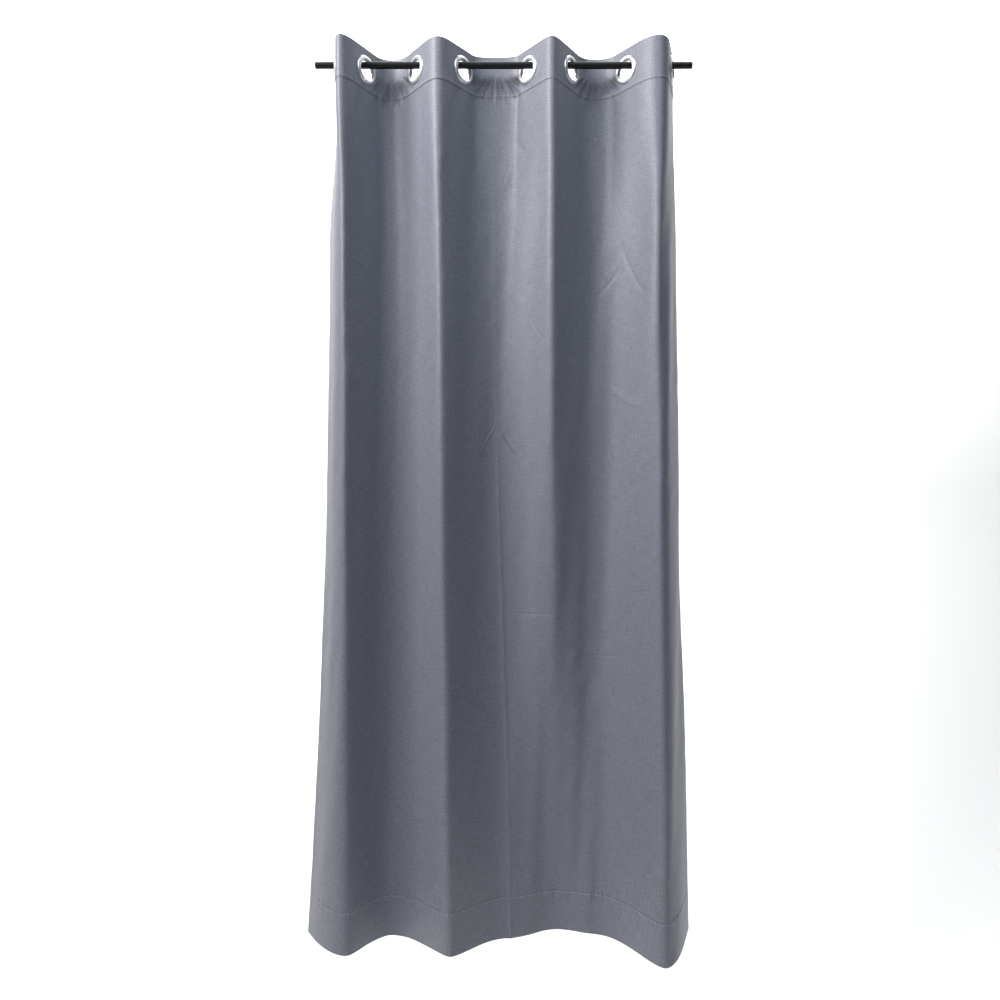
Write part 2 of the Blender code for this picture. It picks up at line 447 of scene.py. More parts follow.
@dataclass
class Hanging:
    """Places of the eyelets and folds, read from the frame's joints and eyelet solids."""

    joints: list[dict]
    nodes: dict[str, bpy.types.Object]
    eyelet_x: list[float] = field(init=False)
    eyelet_z: float = field(init=False)
    directions: list[np.ndarray] = field(init=False)

    def __post_init__(self) -> None:
        """Work out each eyelet's place: every fold's hinge is midway between its two eyelets."""
        places = [joint["pos_m"] for joint in self.joints]
        self.eyelet_x = [places[0][0]]
        self.eyelet_z = places[0][2]
        for hinge in places[1:]:
            self.eyelet_x.append(2 * hinge[0] - self.eyelet_x[-1])
        self.directions = [self.flank_direction(k) for k in range(len(self.eyelet_x))]

    def flank_direction(self, flank: int) -> np.ndarray:
        """Unit vector in plan along a flank, towards +X, from the plane of its eyelet's back half.

        Args:
            flank: Index of the flank.

        Returns:
            The direction as (x, y).
        """
        mesh = self.nodes[f"eyelet_back_{flank + 1}"].data
        points = np.array([vertex.co[:2] for vertex in mesh.vertices])
        spread = np.linalg.eigh(np.cov((points - points.mean(axis=0)).T))[1][:, -1]
        return spread * math.copysign(1.0, spread[0])

    def body(self, flank: int) -> str:
        """Name of the body that a flank belongs to.

        Args:
            flank: Index of the flank.

        Returns:
            The body's name.
        """
        return f"pleat_{flank + 1}"


# ---------------------------------------------------------------- the cloth


@dataclass
class Row:
    """One line of vertices across the sheet, at one distance along the cut cloth."""

    drop: float
    turn: float
    layer: float
    upward: float
    along: float


@dataclass
class Drape:
    """The shape of the hanging sheet, as points for each place across (s) and down (t) the flat cloth."""

    hanging: Hanging
    top_z: float
    length: float
    half_cloth: float = 0.35 * MM
    heading_depth: float = 93 * MM
    heading_turn: float = 99 * MM
    hem_depth: float = 97 * MM
    hem_turn: float = 101 * MM
    side_hem: float = 25 * MM
    side_hem_step: float = 0.6 * MM
    heading_layer: float = 0.95 * MM
    hem_layer: float = 0.50 * MM
    flat_half: float = 35 * MM
    hole_radius: float = 23.5 * MM
    crest_sharpness: float = 0.8
    sample: float = 1.5 * MM
    fold_depth: tuple[float, ...] = (0.066, 0.052, 0.056, 0.040, 0.058, 0.049, 0.062)
    edges: tuple[tuple[float, float], ...] = ((-0.409, 0.068), (0.412, 0.066))
    # Height of each level, then the plan place there of both edges and every fold, from -X to +X
    levels: tuple[float, ...] = (-0.45, -1.15, -1.65, -2.095)
    landmarks: tuple[tuple[tuple[float, float], ...], ...] = (
        ((-0.4270, 0.060), (-0.4325, 0.055), (-0.4540, 0.052), (-0.4795, 0.052)),
        ((-0.3690, -0.062), (-0.3660, -0.060), (-0.3640, -0.060), (-0.3610, -0.060)),
        ((-0.2650, 0.046), (-0.2680, 0.040), (-0.2700, 0.036), (-0.2720, 0.036)),
        ((-0.1500, -0.058), (-0.1440, -0.061), (-0.1340, -0.065), (-0.1240, -0.069)),
        ((-0.0180, 0.041), (-0.0080, 0.042), (0.0040, 0.034), (0.0106, 0.020)),
        ((0.1130, -0.050), (0.1150, -0.018), (0.1200, 0.034), (0.1250, 0.060)),
        ((0.2260, 0.041), (0.2260, 0.038), (0.2260, 0.040), (0.2230, 0.041)),
        ((0.3560, -0.060), (0.3580, -0.067), (0.3640, -0.075), (0.3680, -0.080)),
        ((0.4230, 0.062), (0.4335, 0.065), (0.4460, 0.070), (0.4570, 0.073)),
    )
    rows: list[Row] = field(init=False)
    across: np.ndarray = field(init=False)
    eyelet_s: list[float] = field(init=False)
    fold_s: list[float] = field(init=False)
    width: float = field(init=False)
    right: np.ndarray = field(init=False)
    wrong: np.ndarray = field(init=False)
    right_normals: np.ndarray = field(init=False)
    wrong_normals: np.ndarray = field(init=False)

    def __post_init__(self) -> None:
        """Sample the heading's plan, list the rows, and shape both faces of the cloth."""
        heading = self.heading_plan()
        self.rows = self.list_rows()
        base = self.middle_surface(heading)
        self.right = self.faced(base, Face.RIGHT)
        self.wrong = self.faced(base, Face.WRONG)
        self.right_normals = self.normals(self.right, Face.RIGHT)
        self.wrong_normals = self.normals(self.wrong, Face.WRONG)

    def cubic(self, a: np.ndarray, b: np.ndarray, c: np.ndarray, d: np.ndarray, count: int = 120) -> np.ndarray:
        """Points along a cubic curve, the first left out.

        Args:
            a: Start.
            b: First handle.
            c: Second handle.
            d: End.
            count: Number of points.

        Returns:
            The points.
        """
        t = np.linspace(0.0, 1.0, count + 1)[1:, None]
        return a * (1 - t) ** 3 + b * (3 * t * (1 - t) ** 2) + c * (3 * t * t * (1 - t)) + d * t**3

    def heading_plan(self) -> np.ndarray:
        """The heading's plan at even steps along the cloth: flat across each eyelet and rounded at each fold.

        Returns:
            Plan points, one for each value of across.
        """
        centres = [np.array([x, 0.0]) for x in self.hanging.eyelet_x]
        ways = self.hanging.directions
        start = np.array(self.edges[0])
        first = centres[0] - ways[0] * self.flat_half
        reach = np.linalg.norm(first - start) / 3
        points = [start[None], self.cubic(start, start + (first - start) / 3, first - ways[0] * reach, first)]
        marks = []
        folds = []
        for k, (centre, way) in enumerate(zip(centres, ways)):
            points.append(np.linspace(centre - way * self.flat_half, centre, 40)[1:])
            marks.append(sum(len(part) for part in points) - 1)
            leave = centre + way * self.flat_half
            points.append(np.linspace(centre, leave, 40)[1:])
            if k + 1 == len(centres):
                break
            arrive = centres[k + 1] - ways[k + 1] * self.flat_half
            slopes = abs(way[1]) + abs(ways[k + 1][1])
            handle = (8 * self.fold_depth[k] - 4 * (abs(leave[1]) + abs(arrive[1]))) / (3 * slopes)
            points.append(self.cubic(leave, leave + way * handle, arrive - ways[k + 1] * handle, arrive))
            folds.append(sum(len(part) for part in points) - 1 - 60)
        end = np.array(self.edges[1])
        reach = np.linalg.norm(end - leave) / 3
        points.append(self.cubic(leave, leave + ways[-1] * reach, end + (leave - end) / 3, end))
        line = np.concatenate(points)
        travelled = np.concatenate([[0.0], np.cumsum(np.linalg.norm(np.diff(line, axis=0), axis=1))])
        self.width = float(travelled[-1])
        self.eyelet_s = [float(travelled[mark]) for mark in marks]
        self.fold_s = [float(travelled[mark]) for mark in folds]
        self.across = np.linspace(0.0, self.width, int(self.width / self.sample) + 1)
        return np.stack([np.interp(self.across, travelled, line[:, axis]) for axis in (0, 1)], axis=1)

    def list_rows(self) -> list[Row]:
        """Rows from the raw edge inside the heading, over the top, down the room side and up behind the hem.

        Returns:
            The rows, the heading's turned edge first.
        """
        rows = []
        head, hem = self.heading_layer, self.hem_layer
        top = head + self.half_cloth
        foot = self.length - hem - self.half_cloth
        for drop in np.arange(self.heading_turn, top + 1 * MM, -2.5 * MM):
            rows.append(Row(float(drop), math.pi, head, 1.0, -float(drop)))
        for turn in np.linspace(math.pi, 0.0, 9):
            rows.append(Row(top, float(turn), head, 1.0, 0.0))
        drops = list(np.arange(top + 2 * MM, self.heading_depth - 12 * MM, 2.5 * MM))
        drops += list(np.arange(self.heading_depth - 12 * MM, self.heading_depth + 14 * MM, 1.3 * MM))
        drops += list(np.arange(self.heading_depth + 14 * MM, self.length - self.hem_depth - 14 * MM, 5.0 * MM))
        stitch = self.length - self.hem_depth
        drops += list(np.arange(stitch - 14 * MM, stitch + 14 * MM, 1.3 * MM))
        drops += list(np.arange(stitch + 14 * MM, foot - 1 * MM, 3.0 * MM))
        for drop in drops:
            layer = head * (1 - float(smoothstep(self.heading_depth, self.heading_depth + 8 * MM, np.array(drop))))
            layer += hem * float(smoothstep(stitch - 8 * MM, stitch, np.array(drop)))
            rows.append(Row(float(drop), 0.0, layer, 1.0, float(drop)))
        for turn in np.linspace(0.0, math.pi, 7):
            rows.append(Row(foot, float(turn), hem, -1.0, self.length))
        for drop in np.arange(foot - 2 * MM, self.length - self.hem_turn, -3.0 * MM):
            rows.append(Row(float(drop), math.pi, hem, -1.0, 2 * self.length - float(drop)))
        return rows

    def eased(self, height: float) -> np.ndarray:
        """The plan of the sheet at a height below the heading, before smoothing.

        Args:
            height: Height in the frame.

        Returns:
            Plan points, one for each value of across.
        """
        places = np.array([[np.interp(-height, [-z for z in self.levels], [spot[i] for spot in mark])
                            for i in (0, 1)] for mark in self.landmarks])
        stops = [0.0, *self.fold_s, self.width]
        out = np.empty((len(self.across), 2))
        for k, (low, high) in enumerate(zip(stops, stops[1:])):
            inside = (self.across >= low) & (self.across <= high)
            share = (self.across[inside] - low) / (high - low)
            depth = np.clip(abs(places[k, 1] - places[k + 1, 1]) / 0.08, 0.0, 1.0)
            sharp = self.crest_sharpness * depth
            half = np.sin(share * math.pi / 2) if k % 2 else 1 - np.cos(share * math.pi / 2)
            wave = (1 - sharp) * (1 - np.cos(math.pi * share)) / 2 + sharp * half
            if k == 0:
                wave = np.sin(share * math.pi / 2)
            if k == len(stops) - 2:
                wave = 1 - np.cos(share * math.pi / 2)
            out[inside, 0] = places[k, 0] + (places[k + 1, 0] - places[k, 0]) * share
            out[inside, 1] = places[k, 1] + (places[k + 1, 1] - places[k, 1]) * wave
        return out

    def middle_surface(self, heading: np.ndarray) -> np.ndarray:
        """The cloth's middle surface with its creases, before it has layers and thickness.

        Args:
            heading: Plan of the heading.

        Returns:
            Array of rows by places across by (x, y, z).
        """
        drops = np.linspace(0.0, self.length, 430)
        plans = np.stack([self.eased(self.top_z - drop) for drop in drops])
        plans = smooth_along(smooth_along(plans, 1, 11 * MM / self.sample), 0, 22.0)
        share = smoothstep(0.09, 0.46, drops)[:, None, None]
        plans = heading[None] * (1 - share) + plans * share
        droop = 0.018 * bump(self.fold_s[6], 0.075, self.across) - 0.003 * bump(self.fold_s[4], 0.12, self.across)
        heights = self.top_z - drops[:, None] - droop[None] * (drops[:, None] / self.length) ** 2
        sheet = np.concatenate([plans, np.broadcast_to(heights[..., None], plans.shape[:2] + (1,))], axis=2)
        sheet = sheet - self.raw_normals(sheet) * self.relief(self.across[None], drops[:, None])[..., None]
        wanted = np.array([row.drop for row in self.rows])
        where = np.interp(wanted, drops, np.arange(len(drops)))
        low = np.minimum(where.astype(int), len(drops) - 2)
        part = (where - low)[:, None, None]
        flat = self.fine_relief(self.across[None], wanted[:, None])
        base = sheet[low] * (1 - part) + sheet[low + 1] * part
        return base - self.raw_normals(base, wanted) * flat[..., None]

    def raw_normals(self, sheet: np.ndarray, drops: np.ndarray | None = None) -> np.ndarray:
        """Unit normals that point to the wall.

        Args:
            sheet: Rows by places across by (x, y, z).
            drops: Distance down the cloth of each row, where rows don't run steadily downwards.

        Returns:
            The normals.
        """
        side = np.gradient(sheet, axis=1)
        if drops is None:
            down = np.gradient(sheet, axis=0)
        else:
            down = np.broadcast_to(np.array([0.0, 0.0, -1.0]), sheet.shape)
        normal = np.cross(down, side)
        normal /= np.linalg.norm(normal, axis=2, keepdims=True)
        return normal * np.where(normal[..., 1:2] < 0, -1.0, 1.0) if drops is None else normal

    def relief(self, s: np.ndarray, t: np.ndarray) -> np.ndarray:
        """Soft waves and packing creases, as a distance towards the room.

        Args:
            s: Places across the flat cloth.
            t: Distances down it.

        Returns:
            The distance at each point.
        """
        rng = np.random.default_rng(7)
        free = smoothstep(0.10, 0.35, t) * (1 - 0.4 * smoothstep(self.length - 0.2, self.length, t))
        out = np.zeros(np.broadcast(s, t).shape)
        for _ in range(14):
            wide, tall = rng.uniform(0.07, 0.20), rng.uniform(0.5, 1.6)
            phase, lean = rng.uniform(0, 2 * math.pi), rng.uniform(-0.10, 0.10)
            out += 0.32 * MM * np.sin(2 * math.pi * ((s + lean * t) / wide + t / tall) + phase)
        for _ in range(10):
            wide, tall = rng.uniform(0.05, 0.12), rng.uniform(0.06, 0.16)
            phase = rng.uniform(0, 2 * math.pi)
            out += 0.08 * MM * np.sin(2 * math.pi * (s / wide + t / tall) + phase)
        out *= free
        middle = self.width / 2 - 13 * MM + 14 * MM * smoothstep(0.8, 2.0, t)
        ridge = np.exp(-np.abs(s - middle) / (9 * MM))
        out += (1.1 * MM + 2.4 * MM * smoothstep(0.75, 1.25, t)) * ridge * smoothstep(0.10, 0.25, t)
        return out

    def fine_relief(self, s: np.ndarray, t: np.ndarray) -> np.ndarray:
        """Puckers along the stitching and thin creases, as a distance towards the room.

        Args:
            s: Places across the flat cloth.
            t: Distances down it.

        Returns:
            The distance at each point.
        """
        rng = np.random.default_rng(11)
        out = np.zeros(np.broadcast(s, t).shape)
        slack = sum(bump(self.fold_s[k], 0.034, s) for k in (1, 3, 5))
        stitch = self.length - self.hem_depth
        for wide in (0.0095, 0.013, 0.019, 0.031):
            phase, drift = rng.uniform(0, 2 * math.pi), rng.uniform(0.1, 0.3)
            ripple = np.sin(2 * math.pi * (s / wide + 0.6 * np.sin(s / 0.043 + phase)) + phase + drift * t / 0.01)
            near = np.exp(-np.abs(t - self.heading_depth) / 0.012)
            spread = bump(self.heading_depth - 0.012, 0.026, t)
            out += ripple * MM * (0.09 * near + slack * (0.10 * near + 0.32 * spread * (wide / 0.019)))
            out += ripple * MM * 0.30 * np.exp(-np.abs(t - stitch) / 0.011)
        for k in (1, 3, 5):
            aside, below = s - self.fold_s[k], t - 0.018
            ray = np.arctan2(aside, below)
            ring = bump(0.068, 0.020, np.hypot(aside * 0.9, below)) * smoothstep(0.040, 0.060, t)
            phase = rng.uniform(0, 2 * math.pi)
            fan = np.sin(15 * ray + 3 * np.sin(3 * ray + phase)) + 0.6 * np.sin(27 * ray + phase)
            out += 1.7 * MM * fan * ring * (1 - smoothstep(0.105, 0.125, t))
        for centre in (0.27, 0.655, 0.83, 0.98):
            out += 1.3 * MM * bump(centre, 0.007, s + 0.5 * (t - stitch)) * bump(stitch + 0.004, 0.014, t)
        out -= 0.45 * MM * bump(self.heading_depth, 0.0018, t) + 0.38 * MM * bump(stitch, 0.0018, t)
        for s0, t0, s1, t1, height, width in self.creases():
            run = np.array([s1 - s0, t1 - t0])
            size = np.hypot(*run)
            along = ((s - s0) * run[0] + (t - t0) * run[1]) / size
            off = (-(s - s0) * run[1] + (t - t0) * run[0]) / size
            bow = off - 0.08 * size * (4 * along / size * (1 - along / size))
            fade = smoothstep(0.0, 0.3 * size, along) * (1 - smoothstep(0.7 * size, size, along))
            out += 1.6 * height * fade * np.exp(-np.abs(bow) / width)
        return out

    def creases(self) -> list[tuple[float, float, float, float, float, float]]:
        """Faint single creases in the cloth.

        Returns:
            Start and end as (s, t) pairs, then height and half width, all in metres.
        """
        middle = self.width / 2
        return [
            (middle + 0.020, 1.370, middle + 0.210, 1.372, 0.5 * MM, 3 * MM),
            (middle + 0.260, 1.405, middle + 0.420, 1.400, 0.5 * MM, 3 * MM),
            (0.955, 0.60, 1.090, 0.47, 0.7 * MM, 5 * MM),
            (1.010, 0.78, 1.130, 0.86, -0.7 * MM, 5 * MM),
            (1.060, 0.44, 1.160, 0.62, 0.6 * MM, 5 * MM),
            (0.110, 0.70, 0.200, 0.86, 0.6 * MM, 5 * MM),
            (0.180, 0.86, 0.250, 0.74, -0.6 * MM, 5 * MM),
            (0.180, 1.90, 0.290, 1.92, 0.6 * MM, 4 * MM),
            (0.720, 1.93, 0.860, 1.94, 0.7 * MM, 4 * MM),
            (0.980, 1.90, 1.100, 1.91, -0.6 * MM, 4 * MM),
            (0.700, 0.20, 0.760, 0.26, 0.6 * MM, 4 * MM),
            (0.350, 1.50, 0.420, 1.62, 0.5 * MM, 5 * MM),
        ]

    def faced(self, base: np.ndarray, face: Face) -> np.ndarray:
        """One face of the cloth, with its layers turned over at the heading and the hem.

        Args:
            base: The middle surface at each row.
            face: Which face.

        Returns:
            Rows by places across by (x, y, z).
        """
        turn = np.array([row.turn for row in self.rows])[:, None, None]
        layer = np.array([row.layer for row in self.rows])[:, None, None]
        upward = np.array([row.upward for row in self.rows])[:, None, None]
        wanted = np.array([row.drop for row in self.rows])
        outward = -self.raw_normals(base, wanted) * np.cos(turn) + UP * upward * np.sin(turn)
        depth = layer + face.value * self.half_cloth
        if face is Face.WRONG:
            inset = np.minimum(self.across, self.width - self.across)
            hemmed = 1 - smoothstep(self.side_hem, self.side_hem + 1.5 * MM, inset)
            depth = depth - self.side_hem_step * hemmed[None, :, None]
        return base + outward * depth

    def normals(self, surface: np.ndarray, face: Face) -> np.ndarray:
        """Shading normals of one face.

        Args:
            surface: The face's points.
            face: Which face.

        Returns:
            Unit normals that point out of the cloth.
        """
        normal = np.cross(np.gradient(surface, axis=1), np.gradient(surface, axis=0)) * -face.value
        normal /= np.maximum(np.linalg.norm(normal, axis=2, keepdims=True), 1e-12)
        return normal

    def boundary(self, row: int, x: float) -> float:
        """Where a row crosses the plane of an eyelet.

        Args:
            row: Index of the row.
            x: The plane's place along the rod.

        Returns:
            The place across the flat cloth.
        """
        line = self.right[row, :, 0] * 0.5 + self.wrong[row, :, 0] * 0.5
        return float(np.interp(x, np.maximum.accumulate(line), self.across))

    def sampled(self, values: np.ndarray, rows: np.ndarray, s: np.ndarray) -> np.ndarray:
        """Values at given rows and places across.

        Args:
            values: Rows by places across by three.
            rows: Row index of each point.
            s: Place across of each point.

        Returns:
            One value for each point.
        """
        where = np.clip(s / self.width, 0, 1) * (len(self.across) - 1)
        low = np.minimum(where.astype(int), len(self.across) - 2)
        part = (where - low)[:, None]
        return values[rows, low] * (1 - part) + values[rows, low + 1] * part

    def row_at(self, drop: float) -> int:
        """Index of the front row nearest a distance down the cloth.

        Args:
            drop: The distance.

        Returns:
            The index.
        """
        fronts = [(abs(row.drop - drop), i) for i, row in enumerate(self.rows) if row.turn == 0.0]
        return min(fronts)[1]

    def back_row_at(self, drop: float) -> int:
        """Index of the turned-over row nearest a distance down the cloth.

        Args:
            drop: The distance.

        Returns:
            The index.
        """
        backs = [(abs(row.drop - drop), i) for i, row in enumerate(self.rows) if row.turn == math.pi]
        return min(backs)[1]


@dataclass
class Strip:
    """The stretch of the panel between two neighbouring eyelets, or beyond an end one."""

    index: int
    hanging: Hanging
    drape: Drape
    column: float = 3.0 * MM

    @property
    def count(self) -> int:
        """Number of eyelets."""
        return len(self.hanging.eyelet_x)

    def limits(self) -> tuple[np.ndarray, np.ndarray]:
        """Places across where each row of the strip starts and ends.

        Returns:
            The starts and the ends.
        """
        rows = range(len(self.drape.rows))
        low = np.zeros(len(rows))
        high = np.full(len(rows), self.drape.width)
        if self.index > 0:
            low = np.array([self.drape.boundary(i, self.hanging.eyelet_x[self.index - 1]) for i in rows])
        if self.index < self.count:
            high = np.array([self.drape.boundary(i, self.hanging.eyelet_x[self.index]) for i in rows])
        return low, high

    def build(self, cloth: bpy.types.Material) -> bpy.types.Object:
        """Make the strip's cloth as a closed sheet with half of an eyelet's hole at each side.

        Args:
            cloth: Its material.

        Returns:
            The finished piece.
        """
        drape = self.drape
        low, high = self.limits()
        columns = max(8, round(float(high.mean() - low.mean()) / self.column))
        row_count = len(drape.rows)
        bm = bmesh.new()
        bmesh.ops.create_grid(bm, x_segments=columns, y_segments=row_count - 1, size=1.0)
        drop = np.array([row.drop for row in drape.rows])
        hole_t = drape.top_z - self.hanging.eyelet_z

        def spot(x: float, y: float) -> tuple[float, float]:
            """Place on the flat cloth of a point of the grid.

            Args:
                x: The point's place across the grid, from -1 to 1.
                y: Its place up the grid, from -1 to 1.

            Returns:
                Metres across the cloth and down it.
            """
            row = round((1 - y) / 2 * (row_count - 1))
            share = (x + 1) / 2
            return low[row] * (1 - share) + high[row] * share, drop[row]

        holes = [drape.eyelet_s[k] for k in (self.index - 1, self.index) if 0 <= k < self.count]
        gone = []
        for face in bm.faces:
            points = [spot(vert.co.x, vert.co.y) for vert in face.verts]
            s = sum(point[0] for point in points) / len(points)
            t = sum(point[1] for point in points) / len(points)
            if any(math.hypot(s - hole, t - hole_t) < drape.hole_radius for hole in holes):
                gone.append(face)
        bmesh.ops.delete(bm, geom=gone, context="FACES")
        bmesh.ops.solidify(bm, geom=bm.faces[:], thickness=1.0)
        mesh = bpy.data.meshes.new(f"cloth_panel_{self.index + 1}")
        bm.to_mesh(mesh)
        bm.free()
        return self.shape(mesh, low, high, columns, cloth)

    def shape(self, mesh: bpy.types.Mesh, low: np.ndarray, high: np.ndarray, columns: int,
              cloth: bpy.types.Material) -> bpy.types.Object:
        """Carry the flat, solid grid onto the draped sheet, and give it its UV map and normals.

        Args:
            mesh: The flat grid with a thickness of one.
            low: Start of each row.
            high: End of each row.
            columns: Number of cells across.
            cloth: The strip's material.

        Returns:
            The finished piece.
        """
        drape = self.drape
        flat = np.empty(len(mesh.vertices) * 3)
        mesh.vertices.foreach_get("co", flat)
        flat = flat.reshape(-1, 3)
        rows = np.rint((1 - flat[:, 1]) / 2 * (len(drape.rows) - 1)).astype(int)
        share = np.rint((flat[:, 0] + 1) / 2 * columns) / columns
        s = low[rows] * (1 - share) + high[rows] * share
        right = flat[:, 2] > flat[:, 2].mean()
        place = np.where(right[:, None], drape.sampled(drape.right, rows, s), drape.sampled(drape.wrong, rows, s))
        normal = np.where(right[:, None], drape.sampled(drape.right_normals, rows, s),
                          drape.sampled(drape.wrong_normals, rows, s))
        mesh.vertices.foreach_set("co", place.astype(np.float32).ravel())
        along = np.array([row.along for row in drape.rows])
        corner = np.empty(len(mesh.loops), dtype=np.int32)
        mesh.loops.foreach_get("vertex_index", corner)
        total = along.max() - along.min()
        uv = np.stack([s / drape.width, (along[rows] - along.min()) / total], axis=1)
        layer = mesh.uv_layers.new(name="Flat")
        layer.data.foreach_set("uv", uv[corner].astype(np.float32).ravel())
        mesh.materials.append(cloth)
        mesh.polygons.foreach_set("use_smooth", np.ones(len(mesh.polygons), dtype=bool))
        mesh.update()
        owner = np.repeat(np.arange(len(mesh.polygons)), [len(face.vertices) for face in mesh.polygons])
        sides = np.add.reduceat(right[corner].astype(int), np.searchsorted(owner, np.arange(len(mesh.polygons))))
        walls = (sides > 0) & (sides < 4)
        faces = np.empty(len(mesh.polygons) * 3)
        mesh.polygons.foreach_get("normal", faces)
        loops = normal[corner]
        on_wall = walls[owner]
        loops[on_wall] = faces.reshape(-1, 3)[owner][on_wall]
        mesh.normals_split_custom_set([tuple(value) for value in loops])
        piece = bpy.data.objects.new(mesh.name, mesh)
        bpy.context.scene.collection.objects.link(piece)
        return piece

    def flat_size(self) -> tuple[float, float]:
        """Width and length of the strip's cut cloth, its turned-over ends included.

        Returns:
            The width and the length.
        """
        low, high = self.limits()
        along = [row.along for row in self.drape.rows]
        return float((high - low).mean()), max(along) - min(along)

    def fasten(self, piece: bpy.types.Object) -> None:
        """Hang a piece of an end strip on the body of its one flank; a middle strip's piece is only fixed where it
        stands and follows neither flank.

        Args:
            piece: The piece, finished and in place.
        """
        if self.index == 0:
            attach(piece, self.hanging.body(0))
        elif self.index == self.count:
            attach(piece, self.hanging.body(self.count - 1))
        else:
            self.hanging.body(self.index - 1)
            self.hanging.body(self.index)
            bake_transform(piece)


@dataclass
class Panel:
    """The whole cloth panel, strip by strip, with its side hems and stitching."""

    hanging: Hanging
    drape: Drape
    stitch_length: float = 3.0 * MM
    stitch_gap: float = 1.4 * MM
    thread_radius: float = 0.38 * MM
    thread_rise: float = 0.35

    def build(self) -> None:
        """Make every piece of the panel."""
        along = [row.along for row in self.drape.rows]
        cloth = WovenFinish().build(self.drape.width, max(along) - min(along))
        thread = SEWING_THREAD.build()
        count = len(self.hanging.eyelet_x)
        for index in range(count + 1):
            strip = Strip(index, self.hanging, self.drape)
            piece = strip.build(cloth)
            strip.fasten(piece)
            owner = min(index, count - 1) + 1
            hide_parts(f"cloth_{owner}", f"heading_tape_{owner}")
            stitches = self.stitching(strip, thread)
            strip.fasten(stitches)
            strip.flat_size()
            log.info("%s: %d faces, with %s", piece.name, len(piece.data.polygons), stitches.name)

    def stitching(self, strip: Strip, thread: bpy.types.Material) -> bpy.types.Object:
        """Machine stitches along the heading, the hem and any side hem of one strip, on both faces.

        Args:
            strip: The strip of cloth.
            thread: The thread's material.

        Returns:
            The stitches as one piece.
        """
        drape = self.drape
        low, high = strip.limits()
        hem = drape.length - drape.hem_depth
        step = self.stitch_length + self.stitch_gap
        places = []
        for row in (drape.row_at(drape.heading_depth), drape.row_at(hem),
                    drape.back_row_at(drape.heading_depth), drape.back_row_at(hem)):
            s = np.arange(step / 2, drape.width, step)
            s = s[(s >= low[row]) & (s < high[row])]
            rows = np.full(len(s), row)
            at = drape.sampled(drape.right, rows, s)
            ahead = drape.sampled(drape.right, rows, s + step / 4)
            places += self.places(at, drape.sampled(drape.right_normals, rows, s), ahead - at)
        if strip.index == 0:
            places += self.side_seam(drape.side_hem - 2 * MM)
        if strip.index == strip.count:
            places += self.side_seam(drape.width - drape.side_hem + 2 * MM)
        piece = self.repeated(f"stitching_{strip.index + 1}", places)
        piece.data.materials.append(thread)
        return piece

    def side_seam(self, s: float) -> list[np.ndarray]:
        """Places of the stitches down a side hem, on both faces of the cloth.

        Args:
            s: Place of the seam across the flat cloth.

        Returns:
            One matrix for each stitch.
        """
        drape = self.drape
        front = np.array([i for i, row in enumerate(drape.rows) if row.turn == 0.0])
        drops = np.array([drape.rows[i].drop for i in front])
        step = self.stitch_length + self.stitch_gap
        wanted = np.arange(drops[0] + step, drape.length - drape.hem_depth, step)
        across = np.full(len(front), s)
        places = []
        for surface, normals in ((drape.right, drape.right_normals), (drape.wrong, drape.wrong_normals)):
            line, facing = drape.sampled(surface, front, across), drape.sampled(normals, front, across)
            at, ahead, out = (np.stack([np.interp(where, drops, values[:, axis]) for axis in range(3)], axis=1)
                              for where, values in ((wanted, line), (wanted + step / 4, line), (wanted, facing)))
            places += self.places(at, out, ahead - at)
        return places

    def places(self, at: np.ndarray, out: np.ndarray, way: np.ndarray) -> list[np.ndarray]:
        """Matrices that lay stitches on the cloth.

        Args:
            at: Each stitch's middle on the cloth.
            out: The cloth's normal there.
            way: The direction of sewing.

        Returns:
            One matrix for each stitch, its first axis along the thread.
        """
        matrices = []
        radius = self.thread_radius
        for middle, normal, ahead in zip(at, out, way):
            x_axis = ahead / np.linalg.norm(ahead)
            z_axis = normal - x_axis * (normal @ x_axis)
            z_axis /= np.linalg.norm(z_axis)
            matrix = np.eye(4)
            matrix[:3, 0] = x_axis * self.stitch_length / 2
            matrix[:3, 1] = np.cross(z_axis, x_axis) * radius
            matrix[:3, 2] = z_axis * radius
            matrix[:3, 3] = middle + z_axis * radius * self.thread_rise
            matrices.append(matrix)
        return matrices

    def repeated(self, name: str, places: list[np.ndarray]) -> bpy.types.Object:
        """A lozenge of thread repeated at every stitch.

        Args:
            name: The piece's name.
            places: One matrix for each stitch.

        Returns:
            The stitches as one piece.
        """
        bm = bmesh.new()
        bmesh.ops.create_uvsphere(bm, u_segments=6, v_segments=5, radius=1.0,
                                  matrix=Matrix.Rotation(math.pi / 2, 4, "Y"))
        points = np.array([(*vert.co, 1.0) for vert in bm.verts])
        faces = [[vert.index for vert in face.verts] for face in bm.faces]
        bm.free()
        placed = np.einsum("mij,vj->mvi", np.array(places), points)[..., :3].reshape(-1, 3)
        mesh = bpy.data.meshes.new(name)
        mesh.from_pydata(placed.tolist(), [], [[index + i * len(points) for index in face]
                                               for i in range(len(places)) for face in faces])
        mesh.shade_smooth()
        piece = bpy.data.objects.new(name, mesh)
        bpy.context.scene.collection.objects.link(piece)
        return piece


# ---------------------------------------------------------------- metal pieces


